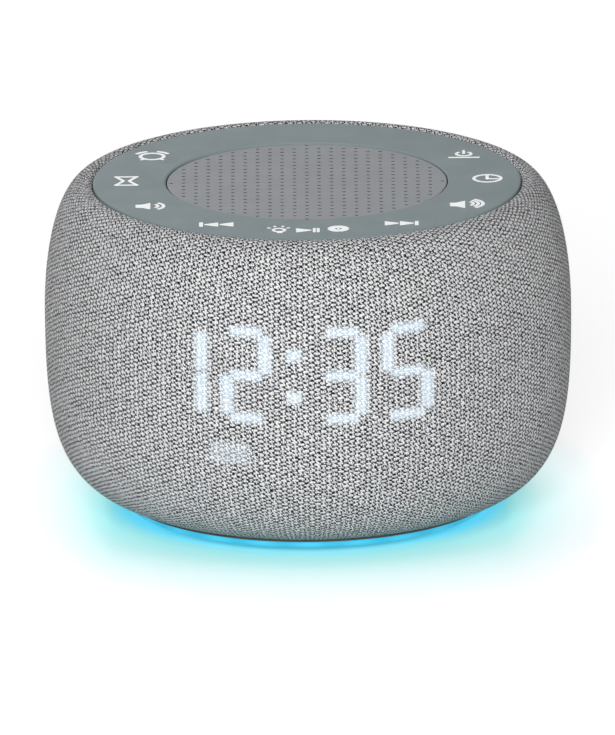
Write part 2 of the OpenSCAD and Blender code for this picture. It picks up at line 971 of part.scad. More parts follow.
module rear_panel() {
    color("#2c2e30")
        difference() {
            intersection() {
                body_volume(-panel_proud);
                at_rear(panel_w, panel_h, panel_z, panel_back_y, body_r + 5);
            }
            at_rear(panel_w - 2 * panel_wall, panel_h - 2 * panel_wall, panel_z,
                panel_face_y, body_r + 6);
            translate([inlet_x, 0, panel_z])
                rotate([-90, 0, 0])
                    cylinder(d = inlet_d + 2.4 + 2 * fit, h = body_r, $fn = 48);
            translate([usb_x - usb_w / 2 - fit, panel_back_y - 1, panel_z - usb_h / 2 - fit])
                cube([usb_w + 2 * fit, 6, usb_h + 2 * fit]);
        }
}

// Barrel socket with its centre pin
module power_inlet() {
    length = 13;
    color("#1b1c1e")
        translate([inlet_x, panel_face_y, panel_z]) {
            difference() {
                union() {
                    rotate([90, 0, 0])
                        cylinder(d = inlet_d + 2.4, h = length, $fn = 48);
                    translate([-4.5, -length - 0.1, -6.4 + 1.6 - 1.6])
                        cube([9, length + 0.1 - 2.6, 10.4]);
                }
                translate([0, 0.1, 0])
                    rotate([90, 0, 0])
                        cylinder(d = inlet_d, h = 10.1, $fn = 48);
            }
            translate([0, -1, 0])
                rotate([90, 0, 0])
                    cylinder(d = 2, h = 10, $fn = 32);
        }
}

module usb_socket() {
    sheet_t = 0.4;
    color("#b9bcc0")
        translate([usb_x - usb_w / 2, panel_face_y - usb_l, panel_z - usb_h / 2]) {
            difference() {
                cube([usb_w, usb_l, usb_h]);
                translate([sheet_t, 1, sheet_t])
                    cube([usb_w - 2 * sheet_t, usb_l, usb_h - 2 * sheet_t]);
            }
            translate([1, 0.5, usb_h - 2.8])
                cube([usb_w - 2, usb_l - 2, 1.8]);
            for (x = [0.6, usb_w - 2.2])
                translate([x, 2, jack_board_z - panel_z + usb_h / 2])
                    cube([1.6, 7, panel_z - usb_h / 2 - jack_board_z + 0.1]);
        }
}

module jack_board() {
    color("#1f5a3a")
        translate([-panel_w / 2 + 3, panel_back_y - jack_board_l, jack_board_z - jack_board_t])
            cube([panel_w - 6, jack_board_l, jack_board_t]);
}

// ---- Boards inside ----

module board_post_places() {
    for (x = [-1, 1], y = [-1, 1])
        translate([x * board_post_x, y * board_post_y, 0])
            children();
}

module main_board() {
    color("#1f5a3a")
        difference() {
            translate([-main_board_l / 2, -main_board_w / 2, main_board_z])
                cube([main_board_l, main_board_w, main_board_t]);
            board_post_places()
                cylinder(d = small_screw_d + 2 * fit, h = body_h, $fn = 24);
        }
}

module board_parts() {
    top = main_board_z + main_board_t;
    color("#202224") {
        for (c = [[-18, -8, 12, 12, 1.4], [6, -12, 9, 9, 1.2], [17, 6, 8, 6, 1.5], [-8, 14, 6, 5, 1.5]])
            translate([c[0], c[1], top])
                cube([c[2], c[3], c[4]]);
        for (c = [[-21, 14, 6.3, 11], [-13, 16, 6.3, 11], [24, -12, 8, 12]])
            translate([c[0], c[1], top])
                cylinder(d = c[2], h = c[3], $fn = 32);
        for (x = [-8, 6])
            translate([x, -22, top])
                cube([10, 4.5, 6]);
    }
}

// Coin cell that keeps the clock's time, flat in its holder on the board
module backup_cell() {
    top = main_board_z + main_board_t;
    color("#c3c6c9")
        translate([8, 12, top]) {
            cylinder(d = 12.5, h = 2, $fn = 64);
            translate([0, 0, 2])
                cylinder(d = 10.6, h = 0.5, $fn = 64);
        }
}

module board_screws() {
    color("#55585b") {
        board_post_places()
            translate([0, 0, main_board_z + main_board_t])
                mirror([0, 0, 1])
                    pan_screw(small_screw_d, small_head_d, 5, 1.2);
        for (a = deck_post_angles)
            rotate(a)
                translate([key_circle_r, 0, key_board_top - key_board_t])
                    pan_screw(small_screw_d, small_head_d, 5, 1.2);
    }
}

// ---- Base ----

module base_boss_places() {
    for (a = [45 : 90 : 315])
        rotate(a)
            translate([boss_r, 0, 0])
                children();
}

module foot_places() {
    for (a = [0 : 90 : 270])
        rotate(a)
            translate([foot_circle_r, 0, 0])
                children();
}

module base_plate() {
    color("#2c2e30")
        difference() {
            union() {
                rotate_extrude()
                    polygon([[0, foot_h + base_recess], [base_recess_r, foot_h + base_recess],
                        [base_recess_r + base_recess, foot_h], [base_r - base_bevel, foot_h],
                        [base_r, foot_h + base_bevel], [base_r, base_top], [0, base_top]]);
                translate([0, 0, base_top - 0.1])
                    tube(led_board_bore_r + 2.8, led_board_bore_r + 1, 1.7);
                base_boss_places()
                    translate([0, 0, foot_h])
                        cylinder(d = boss_d, h = boss_meet_z - foot_h);
                board_post_places()
                    translate([0, 0, foot_h])
                        cylinder(d = 5, h = main_board_z - foot_h, $fn = 32);
                for (a = [0 : 60 : 300])
                    rotate(a)
                        translate([12, -0.8, foot_h + 1])
                            cube([foot_circle_r - foot_d / 2 - 14, 1.6, base_t + 1]);
            }
            base_boss_places() {
                translate([0, 0, foot_h - 1])
                    cylinder(d = screw_head_d + 0.8, h = screw_sink + 1, $fn = 48);
                cylinder(d = screw_d + 2 * fit, h = body_h, $fn = 24);
            }
            board_post_places()
                translate([0, 0, main_board_z - 4])
                    cylinder(d = small_screw_d + fit, h = 5, $fn = 24);
            foot_places()
                translate([0, 0, foot_h - 0.1])
                    cylinder(d = foot_d + 2 * fit, h = 0.9, $fn = 48);
        }
}

// Frosted ring: the lower wall shows, the upper wall takes the lamps' light
module light_ring() {
    r_in = base_r + seat_gap;
    color("#a5e9e5")
        rotate_extrude()
            polygon([[r_in, foot_h], [light_ring_r - 0.8, foot_h], [light_ring_r, foot_h + 0.8],
                [light_ring_r, hem_z + 0.4], [r_in + light_inner_t, hem_z + 1],
                [r_in + light_inner_t, light_ring_top], [r_in, light_ring_top]]);
}

module led_board() {
    color("#1f5a3a")
        difference() {
            translate([0, 0, led_board_z])
                tube(base_r - 0.4, led_board_bore_r, led_board_t);
            base_boss_places()
                cylinder(d = boss_d + 4 * fit, h = body_h, $fn = 48);
        }
}

module ring_lamps() {
    color("#f4f6ff")
        for (i = [0 : lamp_count - 1])
            rotate(360 * (i + 0.5) / lamp_count)
                translate([base_r - 2.4, -1.4, led_board_z + led_board_t])
                    cube([1.8, 2.8, 1.4]);
}

module base_screws() {
    color("#55585b")
        base_boss_places()
            translate([0, 0, foot_h + screw_sink])
                pan_screw(screw_d, screw_head_d, boss_meet_z + 8 - foot_h, 1.6);
}

module rubber_feet() {
    color("#1a1b1c")
        foot_places()
            rotate_extrude()
                polygon(concat(
                    [[0, 0], [foot_d / 2 - 0.5, 0]],
                    arc([foot_d / 2 - 0.5, 0.5], 0.5, 270, 360, 4),
                    [[foot_d / 2, foot_h + 0.7], [0, foot_h + 0.7]]));
}

fabric_sleeve();
body_shell();
hem_ring();
control_ring();
key_power();
key_clock();
key_volume_up();
key_forward();
key_back();
key_volume_down();
key_timer();
key_alarm();
key_light();
key_play();
key_pair();
speaker_grille();
top_deck();
key_board();
tact_switches();
speaker_gasket();
speaker_basket();
speaker_surround();
speaker_cone();
dust_cap();
voice_coil();
speaker_spider();
top_plate();
magnet();
pole_yoke();
speaker_terminals();
speaker_screws();
display_lens();
display_reflector();
display_board();
display_lamps();
display_screws();
rear_panel();
power_inlet();
usb_socket();
jack_board();
main_board();
board_parts();
backup_cell();
board_screws();
base_plate();
light_ring();
led_board();
ring_lamps();
base_screws();
rubber_feet();
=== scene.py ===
import bpy
import bmesh
import math
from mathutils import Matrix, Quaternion


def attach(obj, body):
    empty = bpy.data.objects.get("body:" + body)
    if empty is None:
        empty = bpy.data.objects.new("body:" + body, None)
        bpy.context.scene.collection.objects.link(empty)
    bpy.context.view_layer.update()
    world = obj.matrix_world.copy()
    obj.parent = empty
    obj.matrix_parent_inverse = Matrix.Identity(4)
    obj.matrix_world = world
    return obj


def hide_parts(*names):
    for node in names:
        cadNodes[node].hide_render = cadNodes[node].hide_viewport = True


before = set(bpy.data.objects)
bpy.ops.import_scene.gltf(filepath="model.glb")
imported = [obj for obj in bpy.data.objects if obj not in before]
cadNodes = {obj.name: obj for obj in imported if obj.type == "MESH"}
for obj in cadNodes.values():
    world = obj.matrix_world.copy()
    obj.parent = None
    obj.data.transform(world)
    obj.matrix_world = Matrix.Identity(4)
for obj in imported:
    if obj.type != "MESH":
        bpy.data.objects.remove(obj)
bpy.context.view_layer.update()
print("frame loaded:", len(cadNodes), "nodes")

mm = 0.001  # the settings below are in millimetres unless they say otherwise
tiny = 1e-6  # metres, within which two points count as one


# camera

cameraSet = {
    "target": (-0.3, 0.0, 41.2), "elevation": 16.15, "roll": 0.5,
    "distance": 7267.0, "lens": 1200.0,  # far off: the photo has almost no perspective
    "sensor": 36.0, "clip": (0.1, 60.0),  # the clip distances are in metres
}


def placeCamera(s):
    bpy.ops.object.camera_add()
    camera = bpy.context.object
    camera.name = "camera"
    camera.data.sensor_fit = "VERTICAL"
    camera.data.sensor_width = s["sensor"]
    camera.data.sensor_height = s["sensor"]
    camera.data.lens = s["lens"]
    camera.data.clip_start, camera.data.clip_end = s["clip"]
    rise = math.radians(s["elevation"])
    x, y, z = (v * mm for v in s["target"])
    away = s["distance"] * mm
    camera.location = (x, y - away * math.cos(rise), z + away * math.sin(rise))
    camera.rotation_euler = (math.pi / 2 - rise, 0, 0)
    camera.rotation_mode = "QUATERNION"
    roll = Quaternion((0, 0, 1), math.radians(-s["roll"]))
    camera.rotation_quaternion = camera.rotation_quaternion @ roll
    bpy.context.scene.camera = camera


placeCamera(cameraSet)
print("camera placed")


# small helpers for modelling by hand

def selectNothing():
    if bpy.context.mode != "OBJECT":
        bpy.ops.object.mode_set(mode="OBJECT")
    bpy.ops.object.select_all(action="DESELECT")


def focusOn(piece):
    selectNothing()
    piece.select_set(True)
    bpy.context.view_layer.objects.active = piece


def named(name):
    piece = bpy.context.object
    piece.name = name
    piece.data.name = name
    return piece


def settle(piece):  # the place goes into the mesh, and the object back to the origin
    focusOn(piece)
    bpy.ops.object.transform_apply(location=True, rotation=True, scale=True)


def applyAll(piece):
    focusOn(piece)
    for modifier in list(piece.modifiers):
        bpy.ops.object.modifier_apply(modifier=modifier.name)


def cleanShell(piece):  # merges what lies together and turns every face outwards
    focusOn(piece)
    bpy.ops.object.mode_set(mode="EDIT")
    bpy.ops.mesh.select_all(action="SELECT")
    bpy.ops.mesh.remove_doubles(threshold=tiny)
    bpy.ops.mesh.normals_make_consistent(inside=False)
    bpy.ops.object.mode_set(mode="OBJECT")


def smoothBy(piece, degrees):
    focusOn(piece)
    bpy.ops.object.shade_smooth_by_angle(angle=math.radians(degrees))


def turned(name, profile, around):  # a circle drawn out along a profile of (radius, height)
    selectNothing()
    radius, height = profile[0]
    bpy.ops.mesh.primitive_circle_add(
        vertices=around, radius=radius * mm, location=(0, 0, height * mm))
    piece = named(name)
    bpy.ops.object.mode_set(mode="EDIT")
    bpy.ops.mesh.select_all(action="SELECT")
    for (r0, z0), (r1, z1) in zip(profile, profile[1:]):
        bpy.ops.mesh.extrude_region_move(TRANSFORM_OT_translate={"value": (0, 0, (z1 - z0) * mm)})
        bpy.ops.transform.resize(value=(r1 / r0, r1 / r0, 1), center_override=(0, 0, z1 * mm))
    bpy.ops.object.mode_set(mode="OBJECT")
    settle(piece)
    return piece


def arc(x, y, radius, start, end, steps):
    turns = [math.radians(start + (end - start) * i / steps) for i in range(steps + 1)]
    return [(x + radius * math.cos(t), y + radius * math.sin(t)) for t in turns]


def onCircle(radius, degrees, height):  # a place in metres
    lean = math.radians(degrees)
    return radius * mm * math.cos(lean), radius * mm * math.sin(lean), height * mm


def selectFaces(piece, wanted):  # in edit mode, only the faces that the test picks
    mesh = bmesh.from_edit_mesh(piece.data)
    for face in mesh.faces:
        face.select_set(False)
    for face in mesh.faces:
        if wanted(face):
            face.select_set(True)
    bmesh.update_edit_mesh(piece.data)


def cutAway(piece, cutter):
    focusOn(piece)
    cut = piece.modifiers.new("cut", "BOOLEAN")
    cut.operation = "DIFFERENCE"
    cut.solver = "EXACT"
    cut.object = cutter
    bpy.ops.object.modifier_apply(modifier=cut.name)
    bpy.data.objects.remove(cutter)


# small helpers for materials

def newFinish(name):
    material = bpy.data.materials.new(name)
    material.use_nodes = True
    return material, material.node_tree, material.node_tree.nodes["Principled BSDF"]


def node(tree, kind, **values):
    made = tree.nodes.new("ShaderNode" + kind)
    for key, value in values.items():
        setattr(made, key, value)
    return made


def feed(tree, socket, value):  # a link where value is another node's output, else a plain setting
    if isinstance(value, bpy.types.NodeSocket):
        tree.links.new(value, socket)
    elif value is not None:
        socket.default_value = value


def maths(tree, work, first, second=None, third=None, clamp=False):
    made = node(tree, "Math", operation=work, use_clamp=clamp)
    for socket, value in zip(made.inputs, (first, second, third)):
        feed(tree, socket, value)
    return made.outputs[0]


def vectorMaths(tree, work, first, second=None):
    made = node(tree, "VectorMath", operation=work)
    feed(tree, made.inputs[0], first)
    feed(tree, made.inputs[1], second)
    return made.outputs["Value" if work in ("LENGTH", "DOT_PRODUCT") else "Vector"]


def mixColour(tree, share, first, second, way="MIX"):
    made = node(tree, "Mix", data_type="RGBA", blend_type=way)
    feed(tree, made.inputs["Factor"], share)
    for label, colour in (("A", first), ("B", second)):
        moving = isinstance(colour, bpy.types.NodeSocket)
        feed(tree, made.inputs[label], colour if moving else (*colour, 1))
    return made.outputs["Result"]


def linearOf(code):  # a colour as a picture program shows it, such as "808a8a"
    parts = [int(code[i:i + 2], 16) / 255 for i in (0, 2, 4)]
    return tuple(p / 12.92 if p <= 0.04045 else ((p + 0.055) / 1.055) ** 2.4 for p in parts)


def mixCodes(tree, share, first, second):
    return mixColour(tree, share, linearOf(first), linearOf(second))


def setInputs(made, values):
    for label, value in values.items():
        made.inputs[label].default_value = value


def noise(tree, place, scale, detail=3.0, roughness=0.6):
    made = node(tree, "TexNoise")
    feed(tree, made.inputs["Vector"], place)
    setInputs(made, {"Scale": scale, "Detail": detail, "Roughness": roughness})
    return made.outputs["Fac"]


def wander(tree, place, scale, detail):  # an aimless vector, up to half a unit each way
    made = node(tree, "TexNoise")
    feed(tree, made.inputs["Vector"], place)
    setInputs(made, {"Scale": scale, "Detail": detail})
    return vectorMaths(tree, "SUBTRACT", made.outputs["Color"], (0.5, 0.5, 0.5))


def spread(tree, value, low, high, toLow, toHigh):
    made = node(tree, "MapRange")
    for socket, v in zip(made.inputs, (value, low, high, toLow, toHigh)):
        feed(tree, socket, v)
    return made.outputs[0]


def mixed(tree, share, first, second):
    made = node(tree, "Mix", data_type="FLOAT")
    for socket, value in zip(made.inputs, (share, None, first, second)):
        feed(tree, socket, value)
    return made.outputs[0]


def bumped(tree, shader, height, distance, strength=1.0):
    made = node(tree, "Bump")
    setInputs(made, {"Strength": strength, "Distance": distance})
    feed(tree, made.inputs["Height"], height)
    tree.links.new(made.outputs["Normal"], shader.inputs["Normal"])


def roughBy(tree, shader, pattern, smoothest, roughest):  # most of a noise lies from 0.3 to 0.7
    feed(tree, shader.inputs["Roughness"], spread(tree, pattern, 0.3, 0.7, smoothest, roughest))


def objectPlace(tree):
    return node(tree, "TexCoord").outputs["Object"]


def parted(tree, vector):
    made = node(tree, "SeparateXYZ")
    feed(tree, made.inputs[0], vector)
    return made.outputs


def joined(tree, x=0.0, y=0.0, z=0.0):
    made = node(tree, "CombineXYZ")
    for socket, value in zip(made.inputs, (x, y, z)):
        feed(tree, socket, value)
    return made.outputs[0]


def colourRamp(tree, value, steps):  # steps of (place, colour code), the first of them at 0
    made = node(tree, "ValToRGB")
    feed(tree, made.inputs["Fac"], value)
    elements = made.color_ramp.elements
    elements[1].position = steps[-1][0]
    for place, _ in steps[1:-1]:
        elements.new(place)
    for element, (_, code) in zip(elements, steps):
        element.color = (*linearOf(code), 1)
    return made.outputs["Color"]


def seenDirectly(tree):  # 1 for the camera and for mirrored and bent rays, and 0 for other light
    path = node(tree, "LightPath").outputs
    bent = maths(tree, "MAXIMUM", path["Is Glossy Ray"], path["Is Transmission Ray"])
    return maths(tree, "MAXIMUM", path["Is Camera Ray"], bent)


def wear(piece, material):
    piece.data.materials.clear()
    piece.data.materials.append(material)


# grained finishes: moulded, pressed, cast and painted surfaces
# The mottling and the grain are scales per metre, and the depth of the grain is in millimetres.

grainSets = {
    "softRing": {
        "colour": "849295", "second": "8c9a9d", "mottle": 90, "grain": 5200, "depth": 0.012,
        "rough": (0.62, 0.74), "metal": 0.0, "gloss": 0.3},
    "grilleGrey": {
        "colour": "969a9f", "second": "a0a2a7", "mottle": 130, "grain": 4600, "depth": 0.014,
        "rough": (0.6, 0.72), "metal": 0.0, "gloss": 0.3,
        "paintedBoreShade": ("2a2c2f", 98.28)},  # painted shade: dark in the bores, below this height
    "darkShell": {
        "colour": "35373a", "second": "404246", "mottle": 60, "grain": 2600, "depth": 0.03,
        "rough": (0.55, 0.7), "metal": 0.0},
    "brownTrim": {
        "colour": "45362f", "second": "54423a", "mottle": 200, "grain": 3000, "depth": 0.01,
        "rough": (0.5, 0.65), "metal": 0.0},
    "blackPlastic": {
        "colour": "1b1c1e", "second": "27292c", "mottle": 240, "grain": 4200, "depth": 0.015,
        "rough": (0.38, 0.55), "metal": 0.0},
    "blackRubber": {
        "colour": "18181a", "second": "26262a", "mottle": 300, "grain": 1800, "depth": 0.05,
        "rough": (0.78, 0.9), "metal": 0.0},
    "basketSteel": {
        "colour": "3a3d42", "second": "484c52", "mottle": 150, "grain": 3400, "depth": 0.02,
        "rough": (0.42, 0.6), "metal": 0.6},
    "zincSteel": {
        "colour": "b4b7b6", "second": "cfcfc4", "mottle": 420, "grain": 2400, "depth": 0.006,
        "rough": (0.24, 0.42), "metal": 1.0},
    "ferrite": {
        "colour": "2a2a2c", "second": "3d3c3c", "mottle": 500, "grain": 3800, "depth": 0.04,
        "rough": (0.6, 0.8), "metal": 0.25},
    "brassTags": {
        "colour": "c6a04d", "second": "b08a45", "mottle": 700, "grain": 3000, "depth": 0.004,
        "rough": (0.22, 0.38), "metal": 1.0},
    "screwSteel": {
        "colour": "a9acaf", "second": "8e9194", "mottle": 900, "grain": 4200, "depth": 0.006,
        "rough": (0.26, 0.4), "metal": 1.0},
    "whitePlastic": {
        "colour": "e4e6e6", "second": "d8dbdc", "mottle": 160, "grain": 3600, "depth": 0.01,
        "rough": (0.4, 0.52), "metal": 0.0},
    "conePaper": {
        "colour": "2b2a2a", "second": "403d3a", "mottle": 1400, "grain": 2200, "depth": 0.05,
        "rough": (0.8, 0.92), "metal": 0.0},
}

grainMix = {
    "mottle": 0.7, "fleck": 0.35,  # how much of each goes into the share of the second colour
    "fleckScale": 0.45,  # flecks are coarser than the grain
    "boreShadeEdge": 0.08, "bump": 0.6,
}


def grained(name, s):
    material, tree, shader = newFinish(name)
    place = objectPlace(tree)
    mottle = noise(tree, place, s["mottle"], 4.0)
    fleck = noise(tree, place, s["grain"] * grainMix["fleckScale"], 2.0, 0.7)
    share = maths(tree, "MULTIPLY_ADD", fleck, grainMix["fleck"],
                  maths(tree, "MULTIPLY", mottle, grainMix["mottle"]), clamp=True)
    colour = mixCodes(tree, share, s["colour"], s["second"])
    # painted shade: below the given height the colour turns dark, as shade in the bores
    if "paintedBoreShade" in s:
        code, height = s["paintedBoreShade"]
        low = spread(tree, parted(tree, place)["Z"],
                     (height - grainMix["boreShadeEdge"]) * mm, height * mm, 1.0, 0.0)
        colour = mixColour(tree, low, colour, linearOf(code))
    feed(tree, shader.inputs["Base Color"], colour)
    roughBy(tree, shader, mottle, *s["rough"])
    setInputs(shader, {"Metallic": s["metal"], "Specular IOR Level": s.get("gloss", 0.5)})
    # painted light: a faint white glow, for the pieces that ask for it
    if "paintedGlow" in s:
        setInputs(shader, {"Emission Color": (1, 1, 1, 1), "Emission Strength": s["paintedGlow"]})
    grain = noise(tree, place, s["grain"], 3.0, 0.55)
    bumped(tree, shader, grain, s["depth"] * mm, grainMix["bump"])
    return material


finishes = {name: grained(name, s) for name, s in grainSets.items()}
print("grained finishes made:", len(finishes))


# patterned finishes

boardSet = {
    "mask": "1d5a3c", "copper": "2f7a4e", "pads": "c2b27a",
    "pitch": 420, "line": 0.16, "lineSoft": 0.1, "padPitch": 294, "padSize": 0.2,
    "patches": 160, "clouds": 900, "rough": (0.28, 0.4), "rise": 0.04, "bump": 0.8,
}


def boardFinish(s):  # solder mask with raised copper lines and plated pads
    material, tree, shader = newFinish("circuitBoard")
    place = objectPlace(tree)
    bricks = node(tree, "TexBrick")
    feed(tree, bricks.inputs["Vector"], place)
    setInputs(bricks, {"Scale": s["pitch"], "Mortar Size": s["line"],
                       "Mortar Smooth": s["lineSoft"]})
    cells = node(tree, "TexVoronoi", feature="F1", distance="EUCLIDEAN")
    feed(tree, cells.inputs["Vector"], place)
    setInputs(cells, {"Scale": s["padPitch"]})
    pads = maths(tree, "LESS_THAN", cells.outputs["Distance"], s["padSize"])
    patch = maths(tree, "GREATER_THAN", noise(tree, place, s["patches"], 1.0), 0.5)
    lines = maths(tree, "MULTIPLY", bricks.outputs["Fac"], patch)
    green = mixCodes(tree, lines, s["mask"], s["copper"])
    feed(tree, shader.inputs["Base Color"], mixColour(tree, pads, green, linearOf(s["pads"])))
    roughBy(tree, shader, noise(tree, place, s["clouds"]), *s["rough"])
    bumped(tree, shader, maths(tree, "ADD", lines, pads), s["rise"] * mm, s["bump"])
    return material


copperSet = {
    "colour": "b8683a", "second": "8a4526", "wire": 0.16,  # the wire is the diameter of one turn
    "streaks": 1500, "metal": 0.85, "rough": (0.25, 0.42), "rise": 0.05, "bump": 0.8,
}


def copperFinish(s):  # fine turns of enamelled wire, one above the other
    material, tree, shader = newFinish("copperWire")
    place = objectPlace(tree)
    turn = maths(tree, "MULTIPLY", parted(tree, place)["Z"], 2 * math.pi / (s["wire"] * mm))
    ridge = maths(tree, "MULTIPLY_ADD", maths(tree, "SINE", turn), 0.5, 0.5)
    streak = noise(tree, place, s["streaks"], 2.0)
    share = maths(tree, "MULTIPLY_ADD", streak, 0.5, maths(tree, "MULTIPLY", ridge, 0.5))
    feed(tree, shader.inputs["Base Color"], mixCodes(tree, share, s["second"], s["colour"]))
    setInputs(shader, {"Metallic": s["metal"]})
    roughBy(tree, shader, streak, *s["rough"])
    bumped(tree, shader, ridge, s["rise"] * mm, s["bump"])
    return material


spiderSet = {
    "colour": "b59a63", "second": "8d7443", "thread": 0.5,
    "stains": 900, "stain": 0.4, "weave": 0.6, "rough": 0.85, "rise": 0.06, "bump": 0.9,
}


def spiderFinish(s):  # resin-stiffened cloth, woven square
    material, tree, shader = newFinish("spiderCloth")
    place = objectPlace(tree)
    parts = parted(tree, place)
    step = 2 * math.pi / (s["thread"] * mm)
    along = maths(tree, "SINE", maths(tree, "MULTIPLY", parts["X"], step))
    across = maths(tree, "SINE", maths(tree, "MULTIPLY", parts["Y"], step))
    weave = maths(tree, "MULTIPLY_ADD", maths(tree, "MULTIPLY", along, across), 0.5, 0.5)
    share = maths(tree, "MULTIPLY_ADD", noise(tree, place, s["stains"]), s["stain"],
                  maths(tree, "MULTIPLY", weave, s["weave"]))
    feed(tree, shader.inputs["Base Color"], mixCodes(tree, share, s["second"], s["colour"]))
    setInputs(shader, {"Roughness": s["rough"]})
    bumped(tree, shader, weave, s["rise"] * mm, s["bump"])
    return material


glowSet = {
    "tube": "62d2ee", "deep": "2cc0ea", "milky": "2f7f95", "strength": 0.56,
    "lamps": 24, "clouds": 120, "haze": 0.4, "spots": 0.35,
    "rough": (0.4, 0.55), "rise": 0.05, "bump": 0.3,
}


def glowFinish(s):  # milky ring lit from within, brighter in front of each lamp
    material, tree, shader = newFinish("glowRing")
    place = objectPlace(tree)
    parts = parted(tree, place)
    turn = maths(tree, "ARCTAN2", parts["Y"], parts["X"])
    wave = maths(tree, "COSINE", maths(tree, "MULTIPLY", turn, s["lamps"]))
    spots = maths(tree, "MULTIPLY_ADD", wave, 0.5, 0.5)
    haze = noise(tree, place, s["clouds"], 3.0)
    share = maths(tree, "MULTIPLY_ADD", haze, s["haze"], maths(tree, "MULTIPLY", spots, s["spots"]),
                  clamp=True)
    feed(tree, shader.inputs["Base Color"], mixCodes(tree, share, s["milky"], s["deep"]))
    feed(tree, shader.inputs["Emission Color"], mixCodes(tree, share, s["deep"], s["tube"]))
    setInputs(shader, {"Emission Strength": s["strength"]})
    roughBy(tree, shader, haze, *s["rough"])
    bumped(tree, shader, haze, s["rise"] * mm, s["bump"])
    return material


lensSets = {
    "frostedLens": {"colour": "dfe6ec", "second": "f2f6fa", "strength": 0.25},
    "lampWhite": {"colour": "f4f2da", "second": "ffffff", "strength": 0.8},
}
lensGrain = {"clouds": 700, "grain": 4200, "rough": (0.45, 0.6), "depth": 0.02, "bump": 0.5}


def lensFinish(name, s):  # sanded clear plastic that scatters the lamps' light
    material, tree, shader = newFinish(name)
    place = objectPlace(tree)
    cloud = noise(tree, place, lensGrain["clouds"], 4.0)
    feed(tree, shader.inputs["Base Color"], mixCodes(tree, cloud, s["colour"], s["second"]))
    setInputs(shader, {"Emission Color": (*linearOf(s["second"]), 1),
                       "Emission Strength": s["strength"]})
    roughBy(tree, shader, cloud, *lensGrain["rough"])
    grain = noise(tree, place, lensGrain["grain"])
    bumped(tree, shader, grain, lensGrain["depth"] * mm, lensGrain["bump"])
    return material


finishes["circuitBoard"] = boardFinish(boardSet)
finishes["copperWire"] = copperFinish(copperSet)
finishes["spiderCloth"] = spiderFinish(spiderSet)
finishes["glowRing"] = glowFinish(glowSet)
for name, s in lensSets.items():
    finishes[name] = lensFinish(name, s)
print("patterned finishes made")


# woven cover with the clock's light behind it

bodyCurve = {
    "lower": [(56.3, 4.6), (76.26, 10.55), (78.0, 28.61), (78.0, 60.3)],
    "upper": [(78.0, 60.3), (78.0, 80.73), (73.21, 99.0), (65.4, 99.0)],
    "steps": 44, "around": 360, "smooth": 40,
    "roll": (65.4, 97.2, 1.8), "tuck": 94.9,  # the lip's roll, and where the cloth ends inside it
    "thick": 0.95, "threadsAround": 288, "threadPitch": 0.68,
}
coverWindow = {  # where the socket panel shows at the back
    "width": 44.6, "height": 16.6, "middle": 28.0, "back": 70.0, "depth": 40.0,
}

clockSet = {
    "turn": 3.2, "middle": 60.9,  # the display faces a little to the side
    "digitWidth": 14.9, "digitHeight": 29.1,
    "bar": 3.7, "flatBar": 3.0, "rounding": 1.2, "soft": 1.9,
    "flatShort": 1.4, "uprightShift": 0.08, "uprightShort": 0.36,  # in widths of a bar
    "digits": [(-33.05, "bc"), (-14.15, "abged"), (14.15, "abgcd"), (33.05, "afgcd")],  # 12 35
    "dots": [(0.0, 6.4), (0.0, -6.4)], "dotSize": (4.4, 3.5),
    "marker": (-19.4, -24.4, 11.8, 6.6), "markerRounding": 1.6, "markerShare": 0.42,
    "frayScale": 1100, "fray": 1.6,
}

weaveSet = {
    # the pore colour is painted shade: the pores are real gaps, painted near black
    "light": "ffffff", "middle": "dadce6", "dark": "050506", "pore": "010101",
    "steps": (0.44, 0.72),  # the tones at which a yarn has the middle and the light colour
    "even": (2.0, 1.0, 1.0),  # a bundle is about twice as wide as a weft
    "wobble": 1.5, "wobbleSize": 0.36,
    "warpWidth": 0.96, "warpRise": 1.32, "weftWidth": 1.55, "weftRise": 0.61,  # in threads
    "warpStrokes": (2.4, 0.12), "weftStrokes": (-1.36, -0.35),  # turns across and up one cell
    "loose": 0.44, "crisp": 1.4, "crispShift": 0.15, "plyHighlight": 0.65, "strokeRise": 0.5,
    "dice": 0.57, "fibre": 3.9, "fibreSize": 1.86, "warpTone": 1.15, "weftTone": -0.18,
    "lowest": -1.5, "sink": (-0.25, 0.25), "under": 0.3, "deepest": 0.01,  # heights; between the two sink heights the colour darkens down to "deepest", painted shade in the weave's hollows
    "cell": (2.06, 0.818), "pores": (0.05, 0.26, 0.95, 0.85),  # near, far, and the painted shade of the pores at the two kinds of corner, strong and weak
    "relief": 0.2, "glowThread": "dbe9f4", "glow": 0.37, "haze": 0.53, "veil": 0.35,
    "surface": {"Roughness": 0.88, "Sheen Weight": 0.04, "Sheen Roughness": 0.6,
                "Specular IOR Level": 0.2, "Emission Strength": 1.0},
}


def cubicPlace(points, t):
    a, b, c, d = (1 - t) ** 3, 3 * t * (1 - t) ** 2, 3 * t * t * (1 - t), t ** 3
    return tuple(a * p + b * q + c * r + d * s for p, q, r, s in zip(*points))


def coverProfile(s):
    steps = s["steps"]
    lower = [cubicPlace(s["lower"], i / steps) for i in range(steps + 1)]
    upper = [cubicPlace(s["upper"], i / steps) for i in range(1, steps + 1)]
    x, z, radius = s["roll"]
    lip = arc(x, z, radius, 90, 180, 8)[1:]
    return lower + upper + lip + [(x - radius, s["tuck"])]


